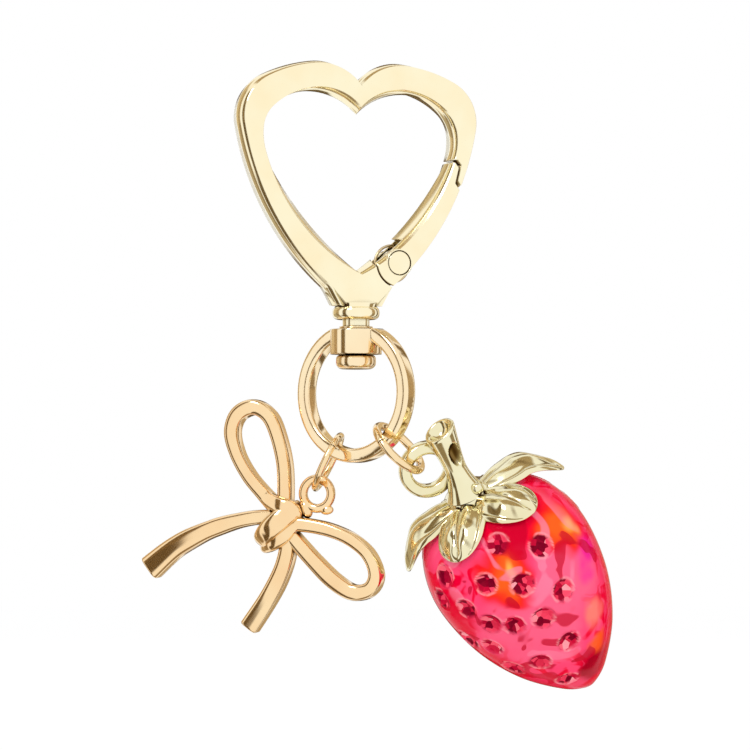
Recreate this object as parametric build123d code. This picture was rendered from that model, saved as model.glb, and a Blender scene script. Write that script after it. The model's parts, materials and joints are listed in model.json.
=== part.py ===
"""Heart-shaped spring clasp with a swivel ring that carries a ribbon bow charm and a strawberry charm.

Millimetres. The clasp stands upright in the XZ plane and its front faces -Y.
The origin is the tip of the heart's inner top notch, at mid thickness: the point a loop or key ring hangs it from.
"""

import os
from math import cos, radians, sin

from build123d import *

# Fits and clearances
running_fit = 0.05  # radial gap between a turning pin or shank and its bore
end_float = 0.08  # axial gap between turning faces
head_gap = 0.12  # gap round a sunk pin head
swing_gap = 0.35  # gap between the gate's knuckle and its seat
link_seat = 0.30  # gap between a jump ring and the wire it hangs on
cap_seat = 0.10  # glue gap between the leaf cap and the berry

# Clasp: the outline of the flat face, whose sides bulge out to the parting line
clasp_thickness = 4.4
side_bulge = 0.45
heart_half_width = 17.5
widest_drop = 1.86
lobe_top = 6.84
lobe_top_offset = 7.0
outer_notch = 3.84
inner_notch = 1.04
limb_top_width = 3.4
limb_side_width = 2.6
tip_half_width = 4.6
tip_drop = 24.16
foot_drop = 26.96
foot_half_width = 3.0

# Gate, its fork, pin and spring
pin_offset = 5.72
pin_drop = 20.76
pin_diameter = 1.6
pin_head_diameter = 3.3
pin_head_height = 0.6
pin_boss_wall = 0.3
knuckle_radius = 2.8
latch_offset = 14.3
latch_drop = 6.46
latch_gap = 0.55
hook_depth = 4.4
gate_opening = 28.0
fork_slot = 2.4
fork_relief = 0.15
tongue_thickness = 1.1
tongue_radius = 1.95
spring_wire = 0.4
spring_radius = 2.55
spring_turns = 1.37
spring_frame_leg = 2.1
spring_gate_leg = 1.85
spring_start = 255.0

# Swivel
collar_diameter = 6.6
collar_height = 1.4
neck_diameter = 3.8
neck_height = 1.35
washer_diameter = 4.7
washer_height = 0.3
barrel_diameter = 7.2
barrel_height = 3.5
shank_diameter = 2.4
shank_socket = 4.0
rivet_head_diameter = 5.6
rivet_head_height = 2.0
ring_radius = 9.8
ring_wall = 2.0
ring_depth = 2.4
ring_drop = 38.96
ring_round = 0.55
ring_heading = -62.0

# Jump rings: place round the swivel ring, lean from straight down, heading of the lean, turn about the lean
bow_link_wire = 0.95
bow_link_radius = 4.55
bow_link_place = -26.5
bow_link_lean = 26.0
bow_link_heading = 141.5
bow_link_turn = 83.0
bow_link_slack = 0.35
bow_eye_slack = 0.0
berry_link_wire = 1.2
berry_link_radius = 4.7
berry_link_place = 42.0
berry_link_lean = 46.6
berry_link_heading = -17.3
berry_link_turn = -66.0
berry_link_slack = 0.35
berry_eye_slack = 0.3

# Bow, drawn flat with the knot at its centre
bow_heading = -44.0
bow_depth = 2.8
band_width = 2.1
band_round = 0.5
upper_loop = [((-4.2, 12.9), 4.6), ((-3.4, 8.8), 4.4), ((-0.6, 4.2), 2.5)]
side_loop = [((11.0, -5.8), 4.5), ((8.3, -4.1), 4.2), ((4.7, -1.9), 2.6)]
loop_tip = 0.25
long_tail = [(-1.5, 1.3), (-10.8, -0.4), (-20.8, -6.6)]
long_tail_end = 3.6
short_tail = [(0.9, -2.0), (-0.4, -7.2), (-5.5, -14.8)]
short_tail_end = 2.8
knot_size = (4.6, 6.2, 4.4)
knot_lean = 50.0
knot_round = 1.3
bow_eye_radius = 2.7
bow_eye_wire = 1.25
bow_eye_place = (5.3, 4.2)
bow_eye_swing = -12.0

# Strawberry: heights are from the foot of the stem, down the berry's own axis
berry_lean = 40.3
berry_heading = 15.0
berry_front = -114.0
berry_radius = 12.1
berry_widest = 13.6
berry_top = 2.0
berry_tip = 35.8
dimple_radius = 1.6
dimple_depth = 0.6
high_dimples = [(5.1, -3), (6.6, -57), (8.6, 23), (8.9, -25), (10.0, -69), (11.3, -3), (11.5, -48), (14.7, -37)]
low_dimples = [(15.7, 18), (16.3, -23), (17.4, -3.5), (17.5, -69), (18.9, -50), (23.3, 3), (24.0, -53), (24.2, -26)]
tip_dimples = [(30.1, -22)]
back_dimples = [(6.2, 110, 5), (10.8, 98, 6), (15.6, 112, 6), (20.4, 100, 6), (25.2, 116, 5), (30.0, 104, 3)]
peg_diameter = 2.0
peg_length = 6.0
leaf_count = 5
leaf_first = -36.0
leaf_length = [10.2, 10.2, 15.2, 14.0, 14.2]
leaf_width = 7.6
leaf_thickness = 0.9
leaf_slope = 32.0
leaf_root = 0.4
leaf_lift = [0, 0, 14, 0, 10]
cap_hub_radius = 2.8
stem_length = 10.0
stem_lean = 9.0
stem_top_radius = 2.3
stem_waist_radius = 1.5
stem_foot_radius = 2.5
berry_eye_radius = 4.1
berry_eye_band = 1.8
berry_eye_depth = 2.0
berry_eye_side = 2.7
berry_eye_rise = 4.9
berry_eye_swing = 60.0


def compass(angle):
    """A level unit vector at this angle from +X."""
    return Vector(cos(radians(angle)), sin(radians(angle)), 0)


def leaning(lean, heading):
    """A unit vector that leans from straight down towards a heading."""
    return compass(heading) * sin(radians(lean)) - Vector(0, 0, cos(radians(lean)))


def upright(shape):
    """Turn a shape drawn flat so that its drawing's up is +Z and its front faces -Y."""
    return shape.rotate(Axis.X, 90)


def cylinder_between(radius, low, high):
    """A cylinder on the Z axis between two heights."""
    return Pos(0, 0, low) * Cylinder(radius, high - low, align=(Align.CENTER, Align.CENTER, Align.MIN))


def chain(points, start):
    """Arcs through the points, each running on smoothly from the last; start is the first direction in degrees."""
    arcs, way = [], compass(start)
    for here, there in zip(points, points[1:]):
        arc = TangentArc(here, there, tangent=way)
        arcs.append(arc.edge())
        way = arc % 1
    return arcs


def mirrored_face(half):
    """The face between half an outline and its mirror image in X."""
    return Face(Wire(half + [edge.mirror(Plane.YZ) for edge in half]))


def two_sided(outline, depth, bulge):
    """A solid with two flat faces, whose sides stand out by the bulge at mid depth; outline(growth) is a face."""
    faces = [Pos(0, 0, height) * outline(growth) for height, growth in ((-depth / 2, 0), (0, bulge), (depth / 2, 0))]
    return loft(faces, ruled=True)


# Clasp


def heart_outer(growth):
    """The heart's outline and the foot that the swivel hangs from, grown outwards by this much."""
    notch = (0, outer_notch + 1.2 * growth)
    lobe = (lobe_top_offset, lobe_top + growth)
    shoulder = (heart_half_width - 3.3 + 0.5 * growth, lobe_top - 2.1 + 0.85 * growth)
    side = (heart_half_width + growth, -widest_drop)
    tip = (tip_half_width + 0.8 * growth, -tip_drop - 0.6 * growth)
    corner = (foot_half_width + growth, -foot_drop)
    edges = chain([notch, lobe, shoulder, side, tip], 52)
    edges += [Line(tip, corner).edge(), Line(corner, (0, -foot_drop)).edge()]
    return mirrored_face(edges)


def heart_inner(growth):
    """The outline of the heart's opening, grown outwards by this much."""
    width = heart_half_width - limb_side_width + growth
    crown = (lobe_top_offset + 0.6, lobe_top - limb_top_width + growth)
    shoulder = (width - 1.6, inner_notch - 0.3 + growth / 2)
    side = (width, -widest_drop - 0.5)
    flank = (width - 0.3, -widest_drop - 3.7)
    vertex = (0, -tip_drop + 1.6 - 1.5 * growth)
    return mirrored_face(chain([(0, inner_notch + 2.3 * growth), crown, shoulder, side, flank, vertex], 45))


def heart_blank():
    """The whole heart, before the gate is parted from it."""
    body = two_sided(heart_outer, clasp_thickness, side_bulge)
    return body - two_sided(heart_inner, clasp_thickness, -side_bulge)


def pin_at(radius, low, high):
    """A cylinder on the gate pin's axis, between two distances from mid thickness towards the front."""
    return upright(Pos(pin_offset, -pin_drop, 0) * cylinder_between(radius, low, high))


def around_pin(angle, reach):
    """A point of the drawing this far from the gate pin."""
    return Vector(pin_offset, -pin_drop) + compass(angle) * reach


def latch_line(shift):
    """The stepped line where the gate's nose meets the frame, shifted off by a share of the latch gap."""
    corner = Vector(latch_offset, -latch_drop)
    steps = [(-3.0, 0), (0, 0), (0.55, -0.7), (0.0, -hook_depth + 1.5), (1.0, -hook_depth), (4.0, -hook_depth - 2.6)]
    return [corner + Vector(x, y) + Vector(shift, 0.8 * shift) for x, y in steps]


def gate_region(shift, back_angle, reach):
    """The part of the drawing that the gate takes, out to its latch line and round its knuckle."""
    rim = [around_pin(-45, 6), around_pin(-45, 0), around_pin(back_angle, 6)]
    beyond = heart_half_width + 3
    corners = [Vector(beyond + 10, 2 - pin_drop), Vector(beyond, -pin_drop - 8)]
    outline = Polyline(latch_line(shift) + corners + rim, close=True)
    knuckle = Pos(pin_offset, -pin_drop) * Circle(reach)
    return make_face(outline) + knuckle


def slab(face, depth):
    """An upright slab of this outline, centred on mid thickness."""
    return upright(extrude(face, depth / 2, both=True))


def tongue():
    """The frame's tongue, which carries the gate pin between the cheeks of the gate's fork."""
    root = Pos(*around_pin(222, 1.5 * knuckle_radius)) * Circle(tongue_radius - 0.4)
    eye = Pos(pin_offset, -pin_drop) * Circle(tongue_radius)
    blade = extrude(make_hull(root.edges() + eye.edges()), tongue_thickness)
    return upright(Pos(0, 0, fork_slot / 2 - end_float - tongue_thickness) * blade)


def fork_space():
    """The slot in the gate's fork: room for the tongue and the spring."""
    return pin_at(knuckle_radius + side_bulge + fork_relief, -fork_slot / 2, fork_slot / 2)


def heart_frame(blank):
    """The fixed part of the clasp: the heart with its tongue, collar and neck, and the blind hole for the rivet."""
    cut = gate_region(latch_gap, 170, knuckle_radius + side_bulge + swing_gap)
    frame = blank - slab(cut, 2 * clasp_thickness)
    collar_low = -foot_drop - collar_height
    neck_low = collar_low - neck_height
    frame += cylinder_between(collar_diameter / 2, collar_low, 0.5 - foot_drop)
    frame += cylinder_between(neck_diameter / 2, neck_low, collar_low)
    frame += tongue()
    frame -= pin_at(pin_diameter / 2, -clasp_thickness, clasp_thickness)
    return frame - cylinder_between(shank_diameter / 2, neck_low, shank_socket - foot_drop)


def gate_lever(blank):
    """The gate: its nose hooks under the frame's end, and its forked knuckle turns on the pin."""
    region = gate_region(0, 138.7, knuckle_radius + side_bulge)
    gate = blank & slab(region, 2 * clasp_thickness)
    gate += pin_at(pin_head_diameter / 2 + pin_boss_wall, -clasp_thickness / 2, clasp_thickness / 2)
    gate -= fork_space()
    gate -= pin_at(pin_diameter / 2 + running_fit, -clasp_thickness, clasp_thickness)
    sink = clasp_thickness / 2 - pin_head_height
    hole = pin_head_diameter / 2 + head_gap
    gate -= pin_at(hole, sink - end_float, clasp_thickness)
    return gate - pin_at(hole, -clasp_thickness, end_float - sink)


def gate_pin():
    """The gate's pin, with a sunk head on each face."""
    face = clasp_thickness / 2
    pin = pin_at(pin_diameter / 2, -face, face)
    for low in (-face, face - pin_head_height):
        pin += pin_at(pin_head_diameter / 2, low, low + pin_head_height)
    return pin


def gate_spring():
    """A torsion spring coiled round the pin beside the tongue, with one leg on the frame and one in the fork."""
    pitch = spring_wire + 0.02
    height = spring_turns * pitch
    low = end_float + spring_wire / 2 - fork_slot / 2
    start = Plane(origin=(spring_radius, 0, 0), x_dir=(1, 0, 0), z_dir=(0, 1, 0))
    coil = sweep(start * Circle(spring_wire / 2), path=Helix(pitch, height, spring_radius))
    frame_leg = Plane(origin=(spring_radius, 0, 0), z_dir=(0, -1, 0)) * leg(spring_frame_leg)
    gate_leg = Plane(origin=(spring_radius, 0, height), z_dir=(0, 1, 0)) * leg(spring_gate_leg)
    spring = coil + frame_leg + Rot(0, 0, 360 * spring_turns) * gate_leg
    return upright(Pos(pin_offset, -pin_drop, low) * Rot(0, 0, spring_start) * spring)


def leg(length):
    """A straight end of the spring's wire."""
    return cylinder_between(spring_wire / 2, 0, length) + Sphere(spring_wire / 2)


# Swivel


def neck_foot():
    """The height of the neck's lower end."""
    return -foot_drop - collar_height - neck_height


def barrel_top():
    """The height of the barrel's upper face, which turns under the washer."""
    return neck_foot() - washer_height - end_float


def swivel_washer():
    """A thin washer between the neck and the barrel."""
    foot = neck_foot()
    disc = cylinder_between(washer_diameter / 2, foot - washer_height, foot)
    return disc - cylinder_between(shank_diameter / 2, foot - washer_height, foot)


def swivel_rivet():
    """The rivet that the ring turns on: a round head under the barrel, and a shank fast in the clasp's foot."""
    top = barrel_top() - barrel_height - end_float
    head = cylinder_between(rivet_head_diameter / 2, top - rivet_head_height, top)
    head = fillet(head.edges().group_by(Axis.Z)[0], rivet_head_height * 0.45)
    return head + cylinder_between(shank_diameter / 2, top, shank_socket - foot_drop)


def ring_plane():
    """The swivel ring's plane: its centre, its level direction, and its front."""
    return Plane(origin=(0, 0, -ring_drop), x_dir=compass(ring_heading), z_dir=compass(ring_heading - 90))


def swivel_ring():
    """The ring casting: a round ring with flat faces, and the upright barrel that the rivet passes through."""
    hoop = Circle(ring_radius) - Circle(ring_radius - ring_wall)
    hoop = extrude(hoop, ring_depth / 2, both=True)
    hoop = ring_plane() * fillet(hoop.edges(), ring_round)
    top = barrel_top()
    hoop -= cylinder_between(2 * ring_radius, top, top + ring_radius)
    hoop += cylinder_between(barrel_diameter / 2, top - barrel_height, top)
    bore = shank_diameter / 2 + running_fit
    hoop -= cylinder_between(bore, top - barrel_height, top)
    head_room = rivet_head_diameter / 2 + swing_gap
    return hoop - cylinder_between(head_room, top - barrel_height - 2 * rivet_head_height, top - barrel_height)


# Jump rings


def ring_wire_centre(place):
    """The middle of the ring's wall, at an angle round the ring from its lowest point."""
    reach = ring_radius - ring_wall / 2
    return ring_plane().from_local_coords(Vector(reach * sin(radians(place)), -reach * cos(radians(place)), 0))


def link_plane(place, radius, wire, lean, heading, turn, slack):
    """A jump ring's own plane: X runs down its length, and its centre hangs from the ring wall at this place."""
    down = leaning(lean, heading)
    level = compass(heading + 90)
    facing = level.rotate(Axis((0, 0, 0), down), turn)
    hang = radius - wire - ring_wall / 2 - link_seat - slack
    return Plane(origin=ring_wire_centre(place) + down * hang, x_dir=down, z_dir=facing)


def bow_link_plane():
    """Where the bow's jump ring lies."""
    shape = (bow_link_radius, bow_link_wire, bow_link_lean, bow_link_heading, bow_link_turn, bow_link_slack)
    return link_plane(bow_link_place, *shape)


def berry_link_plane():
    """Where the berry's jump ring lies."""
    shape = (berry_link_radius, berry_link_wire, berry_link_lean, berry_link_heading, berry_link_turn)
    return link_plane(berry_link_place, *shape, berry_link_slack)


def jump_ring(plane, radius, wire):
    """A closed ring of round wire."""
    return plane * Torus(radius - wire / 2, wire / 2)


def eye_centre(plane, link_radius, link_wire, eye_radius, eye_wire, slack, facing, swing):
    """The centre of an eye that hangs in the lower end of a jump ring, swung in its own plane from straight down."""
    drop = link_radius - link_wire - eye_wire / 2 - link_seat - slack
    wire_centre = plane.from_local_coords(Vector(drop, 0, 0))
    down = Vector(0, 0, -1)
    down = (down - facing * facing.dot(down)).normalized()
    return wire_centre + down.rotate(Axis((0, 0, 0), facing), swing) * (eye_radius - eye_wire / 2)


# Bow


def bow_plane():
    """The bow's own plane, with the knot at its origin, X level and Y up."""
    sizes = (bow_link_radius, bow_link_wire, bow_eye_radius, bow_eye_wire, bow_eye_slack)
    facing = compass(bow_heading - 90)
    eye = eye_centre(bow_link_plane(), *sizes, facing, bow_eye_swing)
    flat = Plane(origin=eye, x_dir=compass(bow_heading), z_dir=facing)
    across, up = bow_eye_place
    return Plane(origin=flat.from_local_coords(Vector(-across, -up, 0)), x_dir=flat.x_dir, z_dir=flat.z_dir)


def hull_of(circles, growth):
    """The outline drawn tight round circles that have all grown by this much."""
    rounds = [Pos(*centre) * Circle(max(radius + growth, loop_tip)) for centre, radius in circles]
    return make_hull([edge for disc in rounds for edge in disc.edges()])


def ribbon(face):
    """A flat band of this outline, with its edges rounded."""
    band = extrude(face, bow_depth / 2, both=True)
    return fillet(band.edges().filter_by(Plane.XY), band_round)


def ribbon_loop(circles):
    """A closed loop of ribbon round these circles."""
    return ribbon(hull_of(circles, 0) - hull_of(circles, -band_width))


def ribbon_tail(points, end_width):
    """A ribbon end that curves through three points and widens to a slanted end."""
    middle = ThreePointArc(*points)
    sides = []
    for side in (-1, 1):
        edge = []
        for share in (0, 0.5, 1):
            width = band_width + (end_width - band_width) * share
            out = Vector(*(middle % share)).rotate(Axis.Z, 90 * side)
            edge.append(middle @ share + out * width / 2)
        sides.append(ThreePointArc(*edge).edge())
    ends = [Line(sides[0] @ n, sides[1] @ n).edge() for n in (0, 1)]
    return ribbon(make_face(sides + ends))


def knot():
    """The knot: a rounded block that leans across the bow."""
    block = Box(*knot_size)
    block = fillet(block.edges(), knot_round)
    return Rot(0, 0, -knot_lean) * block


def bow_ribbon():
    """The bow casting: two loops, two tails and the knot."""
    bow = knot() + ribbon_loop(upper_loop) + ribbon_loop(side_loop)
    bow += ribbon_tail(long_tail, long_tail_end)
    return bow + ribbon_tail(short_tail, short_tail_end)


def bow_eyelet(bow):
    """The eyelet soldered in the corner between the upper loop and the side loop."""
    eye = Pos(*bow_eye_place) * Torus(bow_eye_radius - bow_eye_wire / 2, bow_eye_wire / 2)
    return eye - bow


# Strawberry


def berry_plane():
    """The berry's own plane: the foot of the stem is its origin, Z runs up the stem and X comes out of the front."""
    up = -leaning(berry_lean, berry_heading)
    front = compass(berry_front)
    front = (front - up * front.dot(up)).normalized()
    sizes = (berry_link_radius, berry_link_wire, berry_eye_radius, berry_eye_band, berry_eye_slack)
    eye = eye_centre(berry_link_plane(), *sizes, front, berry_eye_swing)
    flat = Plane(origin=eye, x_dir=front, z_dir=up)
    foot = flat.from_local_coords(Vector(eye_setback(), berry_eye_side, -berry_eye_rise))
    return Plane(origin=foot, x_dir=front, z_dir=up)


def eye_setback():
    """How far behind the stem's axis the eye loop's middle lies, so that it meets the stem's back."""
    return stem_waist_radius + berry_eye_depth / 2 - 0.3


def berry_half(growth):
    """The half outline of the berry from its top to its tip, grown outwards by this much."""
    shoulder = (0.74 * berry_radius + growth * 0.5, -berry_top - 2.4 + growth)
    side = (berry_radius + growth, -berry_widest)
    flank = (0.91 * berry_radius + growth, -0.585 * berry_tip)
    low = (0.68 * berry_radius + growth, -0.77 * berry_tip)
    nose = (0.35 * berry_radius + growth, -0.92 * berry_tip)
    top, tip = (0, growth - berry_top), (0, -berry_tip - growth)
    curve = Spline(top, shoulder, side, flank, low, nose, tip, tangents=[(1, 0), (-1, 0)], tangent_scalars=[0.5, 0.3])
    return make_face(curve.edges() + Line(tip, top).edges())


def berry_solid(growth):
    """The berry's body without its dimples, grown outwards by this much."""
    return revolve(Plane.XZ * berry_half(growth), Axis.Z)


def skin_point(drop):
    """A point on the berry's skin at this height, and the skin's outward direction there."""
    skin = berry_half(0).edges().sort_by(SortBy.LENGTH)[-1]
    level = Line((0.01, -drop), (2 * berry_radius, -drop)).edge()
    point = skin.intersect(level)
    point = point if isinstance(point, Vector) else point.vertices()[0].center()
    way = skin.tangent_at(skin.param_at_point(point))
    out = Vector(-way.Y, way.X, 0)
    return point, out if out.X > 0 else -out


def dimple_places():
    """Every dimple's height and its angle round the stem: scattered in front, in level rows behind."""
    places = high_dimples + low_dimples + tip_dimples
    for drop, first, count in back_dimples:
        places += [(drop, first + (275 - first) * number / count) for number in range(count)]
    return places


def dimples():
    """A ball for every dimple, sunk to the dimple's depth."""
    ball_radius = (dimple_radius ** 2 + dimple_depth ** 2) / (2 * dimple_depth)
    balls = []
    for drop, turn in dimple_places():
        point, out = skin_point(drop)
        middle = point + out * (ball_radius - dimple_depth)
        balls.append(Rot(0, 0, turn) * Pos(middle.X, 0, middle.Y) * Sphere(ball_radius))
    return balls


def berry_body():
    """The berry, with its dimples and the blind hole for the peg."""
    berry = berry_solid(0) - dimples()
    return berry - cylinder_between(peg_diameter / 2, -berry_top - peg_length, 0)


def leaf_outline(length):
    """A pointed leaf, drawn with its stalk end at the origin and its tip up."""
    half = leaf_width / 2
    stalk, tip = (0, 0), (0, length)
    left = Spline(stalk, (-half, 0.55 * length), tip, tangents=[(-0.5, 0.85), (0.5, 0.7)])
    right = left.edge().mirror(Plane.YZ)
    return make_face([left.edge(), right])


def leaf(number, shell):
    """One leaf, cut from a shell that follows the berry and then lifted about its stalk."""
    slope, length = radians(leaf_slope), leaf_length[number]
    out = Vector(sin(slope), 0, cos(slope))
    lid = Plane(origin=Vector(0, 0, -berry_top) + out * length, x_dir=(0, -1, 0), z_dir=out)
    blade = shell & extrude(lid * leaf_outline(length), -1.6 * length)
    blade -= cylinder_between(cap_hub_radius - leaf_root, -length, length)
    hinge = Axis((cap_hub_radius, 0, -berry_top), (0, 1, 0))
    blade = blade.rotate(hinge, -leaf_lift[number])
    return blade.rotate(Axis.Z, leaf_first + 360 / leaf_count * number)


def leaf_cap():
    """The cap casting: five leaves that spread from a hub over the berry's top."""
    shell = berry_solid(cap_seat + leaf_thickness) - berry_solid(cap_seat)
    shell = shell.rotate(Axis.Z, 180)  # the seam of the shell lies away from the leaves
    cap = cylinder_between(cap_hub_radius, -berry_top - 1, 0)
    for number in range(leaf_count):
        cap += leaf(number, shell)
    cap -= berry_solid(cap_seat)
    return cap - cylinder_between(peg_diameter / 2, -berry_top - 1, 0)


def cap_peg():
    """The peg that holds the cap on the berry."""
    return cylinder_between(peg_diameter / 2, -berry_top - peg_length, 0)


def cap_stem():
    """The stem: waisted, flared at both ends and hollowed at its top."""
    waist = 0.45 * stem_length
    side = Spline((stem_foot_radius, 0), (stem_waist_radius, waist), (stem_top_radius, stem_length))
    rest = Polyline((stem_top_radius, stem_length), (0, stem_length), (0, 0), (stem_foot_radius, 0))
    stem = revolve(Plane.XZ * make_face(side.edges() + rest.edges()), Axis.Z)
    stem -= Pos(0, 0, stem_length + stem_top_radius) * Sphere(1.3 * stem_top_radius)
    return stem.rotate(Axis.X, -stem_lean) - cylinder_between(3 * stem_foot_radius, -stem_length, 0)


def berry_eye(stem, cap):
    """The flat eye loop behind the stem, soldered to the stem and the cap."""
    place = Plane(origin=(-eye_setback(), -berry_eye_side, berry_eye_rise), x_dir=(0, 1, 0), z_dir=(1, 0, 0))
    band = Circle(berry_eye_radius) - Circle(berry_eye_radius - berry_eye_band)
    loop = extrude(band, berry_eye_depth / 2, both=True)
    return place * fillet(loop.edges(), 0.3) - stem - cap


def pieces():
    """Every piece by name, at rest."""
    blank = upright(heart_blank())
    bow = bow_ribbon()
    stem, cap = cap_stem(), leaf_cap()
    bow_place, berry_place = bow_plane(), berry_plane()
    return {
        "heart_frame": heart_frame(blank),
        "gate_lever": gate_lever(blank),
        "gate_pin": gate_pin(),
        "gate_spring": gate_spring(),
        "swivel_washer": swivel_washer(),
        "swivel_rivet": swivel_rivet(),
        "swivel_ring": swivel_ring(),
        "bow_jump_ring": jump_ring(bow_link_plane(), bow_link_radius, bow_link_wire),
        "bow_ribbon": bow_place * bow,
        "bow_eyelet": bow_place * bow_eyelet(bow),
        "berry_jump_ring": jump_ring(berry_link_plane(), berry_link_radius, berry_link_wire),
        "berry_body": berry_place * berry_body(),
        "leaf_cap": berry_place * cap,
        "cap_peg": berry_place * cap_peg(),
        "cap_stem": berry_place * stem,
        "berry_eyelet": berry_place * berry_eye(stem, cap),
    }


def main():
    os.makedirs("parts", exist_ok=True)
    for name, shape in pieces().items():
        export_step(shape, f"parts/{name}.step")


main()
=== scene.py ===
"""Looks of the heart clasp keychain: polished gold castings, a ribbon bow and a resin strawberry.

Pieces are shaped in millimetres and turned into metres once, when they are finished.
"""

import json
from math import cos, pi, radians, sin, sqrt

import bmesh
import bpy
from mathutils import Matrix, Vector, kdtree, noise
from mathutils.geometry import interpolate_bezier


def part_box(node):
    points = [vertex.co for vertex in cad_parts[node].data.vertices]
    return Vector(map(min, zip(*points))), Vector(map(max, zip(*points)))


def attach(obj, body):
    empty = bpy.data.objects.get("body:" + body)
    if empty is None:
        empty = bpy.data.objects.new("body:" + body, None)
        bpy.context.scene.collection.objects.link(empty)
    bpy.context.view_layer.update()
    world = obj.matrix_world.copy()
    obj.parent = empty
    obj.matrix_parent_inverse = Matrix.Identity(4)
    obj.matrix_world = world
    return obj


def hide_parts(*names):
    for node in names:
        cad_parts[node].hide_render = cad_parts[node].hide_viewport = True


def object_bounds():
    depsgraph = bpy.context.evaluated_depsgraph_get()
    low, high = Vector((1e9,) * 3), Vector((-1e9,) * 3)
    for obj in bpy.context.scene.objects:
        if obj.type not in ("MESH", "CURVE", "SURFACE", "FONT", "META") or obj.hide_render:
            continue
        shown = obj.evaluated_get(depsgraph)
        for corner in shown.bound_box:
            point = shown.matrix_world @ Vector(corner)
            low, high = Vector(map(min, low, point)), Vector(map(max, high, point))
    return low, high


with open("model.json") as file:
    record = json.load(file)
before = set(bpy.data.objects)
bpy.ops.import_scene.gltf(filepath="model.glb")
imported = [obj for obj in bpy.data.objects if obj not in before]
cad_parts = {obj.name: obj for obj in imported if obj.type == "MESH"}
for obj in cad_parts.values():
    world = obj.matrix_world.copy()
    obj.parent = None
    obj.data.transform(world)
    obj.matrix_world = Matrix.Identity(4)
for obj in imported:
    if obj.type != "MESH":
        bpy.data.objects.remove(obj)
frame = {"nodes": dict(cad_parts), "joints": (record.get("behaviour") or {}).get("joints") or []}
cad_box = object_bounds()

MM = 0.001
UP = Vector((0, 0, 1))

# Sizes that the pieces share with the solids, in millimetres and degrees

heart_depth = 4.4
collar_top = -26.96
bow_link_size = (4.55, 0.95)
berry_link_size = (4.7, 1.2)
bow_depth = 2.8
bow_eye_place = (5.3, 4.2)
bow_eye_size = (2.7, 1.25)
berry_lean, berry_heading = 40.3, 15.0
berry_radius, berry_top, berry_tip = 12.1, 2.0, 35.8
peg_length = 8.0
stem_length, stem_lean = 10.0, 9.0
berry_eye_size = (4.1, 1.8, 2.0)
berry_eye_place = (-2.2, -2.7, 4.9)


# Places, read from the frame


def middle_of(node):
    """The middle of a node's box."""
    low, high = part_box(node)
    return (Vector(low) + Vector(high)) / 2 / MM


def hinge(name):
    """A joint's place and axis."""
    joint = next(j for j in frame["joints"] if j["name"] == name)
    return Vector(joint["pos_m"]) / MM, Vector(joint["axis"]).normalized()


def basis(x, y, z, origin):
    """The matrix of a piece's own frame."""
    return Matrix.Translation(origin) @ Matrix((x, y, z)).transposed().to_4x4()


def ring_frame(node, joint):
    """A jump ring's frame: its axis is its joint's, and its X points at the wire that it hangs on."""
    pin, axis = hinge(joint)
    middle = middle_of(node)
    x = (pin - middle).normalized()
    z = (axis - x * axis.dot(x)).normalized()
    return basis(x, z.cross(x), z, middle)


def bow_frame():
    """The bow's frame: the knot's middle, X level, Y up and Z out of its front."""
    front = hinge("bow_swing")[1]
    level = UP.cross(front).normalized()
    origin = middle_of("bow_eyelet") - level * bow_eye_place[0] - UP * bow_eye_place[1]
    return basis(level, UP, front, origin)


def berry_frame():
    """The berry's frame: the stem's foot, Z up the stem, X out of the berry's front."""
    lean, heading = radians(berry_lean), radians(berry_heading)
    up = -Vector((sin(lean) * cos(heading), sin(lean) * sin(heading), -cos(lean)))
    front = hinge("berry_swing")[1]
    front = (front - up * front.dot(up)).normalized()
    foot = middle_of("cap_peg") + up * peg_length / 2
    return basis(front, up.cross(front), up, foot)


# Mesh tools


def between(value, low=0.0, high=1.0):
    """A value held within its limits."""
    return max(low, min(high, value))


def smooth_path(points, steps):
    """Points along a smooth curve that runs through the given ones."""
    knots = [Vector(p) for p in points]
    last = len(knots) - 1
    path = []
    for n, (here, there) in enumerate(zip(knots, knots[1:])):
        before, after = knots[max(n - 1, 0)], knots[min(n + 2, last)]
        handles = here + (there - before) / 6, there - (after - here) / 6
        path += interpolate_bezier(here, *handles, there, steps + 1)[:-1]
    return path + [knots[-1]]


def rounded(point, power):
    """A point of the unit circle pushed out towards the unit square."""
    reach = (abs(point.x) ** power + abs(point.y) ** power) ** (1 / power)
    return point.x / reach, point.y / reach


def loft(bm, stations, segments=28, power=4.0, closed=False):
    """A tube with a rounded-box section.

    A station holds the section's middle, its width way, its depth way, its width and its depth.
    """
    slot = bm.verts.layers.int.get("slot") or bm.verts.layers.int.new("slot")
    ring = bmesh.ops.create_circle(bm, segments=segments, radius=1.0)["verts"]
    unit = [rounded(vert.co, power) for vert in ring]
    edges = list({edge for vert in ring for edge in vert.link_edges})
    for number, vert in enumerate(ring):
        vert[slot] = number
    ends = [edges]
    for number, (middle, across, out, width, depth) in enumerate(stations):
        if number:
            made = bmesh.ops.extrude_edge_only(bm, edges=edges)["geom"]
            ring = [item for item in made if isinstance(item, bmesh.types.BMVert)]
            fresh = set(ring)
            edges = [e for e in made if isinstance(e, bmesh.types.BMEdge) and fresh.issuperset(e.verts)]
        for vert in ring:
            x, y = unit[vert[slot]]
            vert.co = middle + across * (x * width / 2) + out * (y * depth / 2)
    ends.append(edges)
    if closed:
        bmesh.ops.remove_doubles(bm, verts=bm.verts, dist=1e-4)
        return
    for rim in ends:
        bmesh.ops.contextual_create(bm, geom=rim)


def flat_stations(path, facing, widths, depths):
    """Stations along a path whose depth way stays close to one direction; sizes are spread evenly."""
    stations = []
    last = len(path) - 1
    for n, point in enumerate(path):
        along = (path[min(n + 1, last)] - path[max(n - 1, 0)]).normalized()
        across = along.cross(facing).normalized()
        width, depth = spread(widths, n / last), spread(depths, n / last)
        stations.append((point, across, across.cross(along), width, depth))
    return stations


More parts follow.
